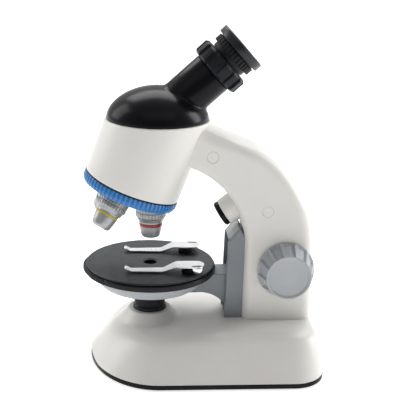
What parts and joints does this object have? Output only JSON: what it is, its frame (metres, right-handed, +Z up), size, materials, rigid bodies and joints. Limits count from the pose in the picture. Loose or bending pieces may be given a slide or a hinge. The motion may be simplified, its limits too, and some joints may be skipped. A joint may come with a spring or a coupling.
{
  "type": "microscope",
  "caption": "Toy compound microscope: tilted head with a rotating nosepiece, inclined eyepiece, curved arm, round stage with clips, focus knobs and a lit base.",
  "frame": {"origin": "middle of the footprint, on the surface that the rubber feet stand on", "axes": "+Z up, +X from the stage towards the arm and knobs, +Y to the far side; the XZ plane is the plane of symmetry"},
  "size_m": [0.1414, 0.1036, 0.2007],
  "materials": {
    "white_shell": "satin moulded ABS, warm white",
    "black_base": "satin moulded ABS, black",
    "rubber": "matt",
    "screw_steel": "zinc plated",
    "inner_black": "matt moulded plastic",
    "cell_jacket": "printed film jacket, plain",
    "spring_steel": "nickel plated",
    "black_gloss": "glossy moulded ABS, black",
    "clear_lens": "polished",
    "circuit_board": "solder mask",
    "switch_red": "satin black",
    "grey_plastic": "satin moulded ABS, mid grey",
    "mirror_glass": "front surface aluminised",
    "blue_ring": "satin moulded ABS, blue",
    "objective_metal": "satin silver plating",
    "band_red": "satin",
    "band_yellow": "satin",
    "band_green": "satin",
    "stage_black": "fine texture",
    "light_grey": "satin moulded ABS, light grey",
    "blue_film": "tinted film",
    "clip_metal": "polished plating",
    "brass_gear": "machined"
  },
  "bodies": {
    "base": {"arm_plugs": "white_shell", "arm_screws": "screw_steel", "arm_shell_far": "white_shell", "arm_shell_near": "white_shell", "base_plate": "black_base", "base_screws": "screw_steel", "base_shell": "white_shell", "battery_cells": "cell_jacket", "battery_contacts": "spring_steel", "battery_door": "black_base", "battery_tray": "inner_black", "detent_ball": "screw_steel", "detent_spring": "spring_steel", "eyepiece_tube": "black_gloss", "focus_column": "grey_plastic", "head_dome": "black_gloss", "head_drum": "white_shell", "lamp_board": "circuit_board", "lamp_housing": "black_gloss", "lamp_lens": "clear_lens", "mirror": "mirror_glass", "mirror_bracket": "inner_black", "nosepiece_pivot": "screw_steel", "nosepiece_plate": "inner_black", "pod_bezel": "black_gloss", "pod_board": "circuit_board", "pod_housing": "white_shell", "pod_lens": "clear_lens", "rubber_feet": "rubber", "switch_frame": "black_base"},
    "nosepiece": {"nosepiece_ring": "blue_ring", "nosepiece_turret": "inner_black", "objective_high": "objective_metal", "band_red": "band_red", "objective_low": "objective_metal", "band_yellow": "band_yellow", "objective_middle": "objective_metal", "band_green": "band_green", "objective_lenses": "clear_lens"},
    "zoom": {"zoom_ring": "black_gloss"},
    "eyepiece": {"eyepiece_barrel": "black_gloss", "eye_lens": "clear_lens", "field_lens": "clear_lens"},
    "focus": {"focus_shaft": "screw_steel", "focus_pinion": "brass_gear", "focus_knob_near": "grey_plastic", "focus_knob_far": "grey_plastic"},
    "stage": {"stage_plate": "stage_black", "stage_rim": "black_gloss", "stage_dish": "light_grey", "stage_bracket": "grey_plastic", "focus_rack": "grey_plastic", "wheel_pivot": "screw_steel", "clip_posts": "inner_black"},
    "wheel": {"filter_wheel": "inner_black", "colour_filters": "blue_film"},
    "clip_near": {"clip_near": "clip_metal"},
    "clip_far": {"clip_far": "clip_metal"},
    "switch": {"switch_rocker": "switch_red"}
  },
  "joints": [
    {"name": "nosepiece_turn", "type": "hinge", "parent": "base", "child": "nosepiece", "pos_m": [-0.03085, 0, 0.1382], "axis": [0.342, 0, 0.9397], "continuous": true},
    {"name": "zoom_turn", "type": "hinge", "parent": "base", "child": "zoom", "pos_m": [-0.03085, 0, 0.1426], "axis": [0.7373, 0, 0.6756], "range_deg": [0, 180]},
    {"name": "eyepiece_slide", "type": "slide", "parent": "base", "child": "eyepiece", "axis": [0.7373, 0, 0.6756], "range_m": [0, 0.003]},
    {"name": "focus_turn", "type": "hinge", "parent": "base", "child": "focus", "pos_m": [0.04845, 0, 0.0603], "axis": [0, 1, 0], "range_deg": [-48, 105]},
    {"name": "stage_lift", "type": "slide", "parent": "base", "child": "stage", "axis": [0, 0, 1], "range_m": [-0.0059, 0.0129]},
    {"name": "filter_wheel_turn", "type": "hinge", "parent": "stage", "child": "wheel", "pos_m": [-0.03935, 0, 0.0571], "axis": [0, 0, 1], "continuous": true},
    {"name": "clip_near_swing", "type": "hinge", "parent": "stage", "child": "clip_near", "pos_m": [-0.00885, -0.017, 0.063], "axis": [0, 0, 1], "range_deg": [-28, 28]},
    {"name": "clip_far_swing", "type": "hinge", "parent": "stage", "child": "clip_far", "pos_m": [-0.00885, 0.017, 0.063], "axis": [0, 0, 1], "range_deg": [-28, 28]},
    {"name": "switch_rock", "type": "hinge", "parent": "base", "child": "switch", "pos_m": [0.06845, 0, 0.0142], "axis": [0, 1, 0], "range_deg": [-14, 0]}
  ],
  "couplings": [
    {"joint": "zoom_turn", "follows": "eyepiece_slide", "rad_per_m": 1047.2},
    {"joint": "stage_lift", "follows": "focus_turn", "m_per_rad": 0.007}
  ]
}
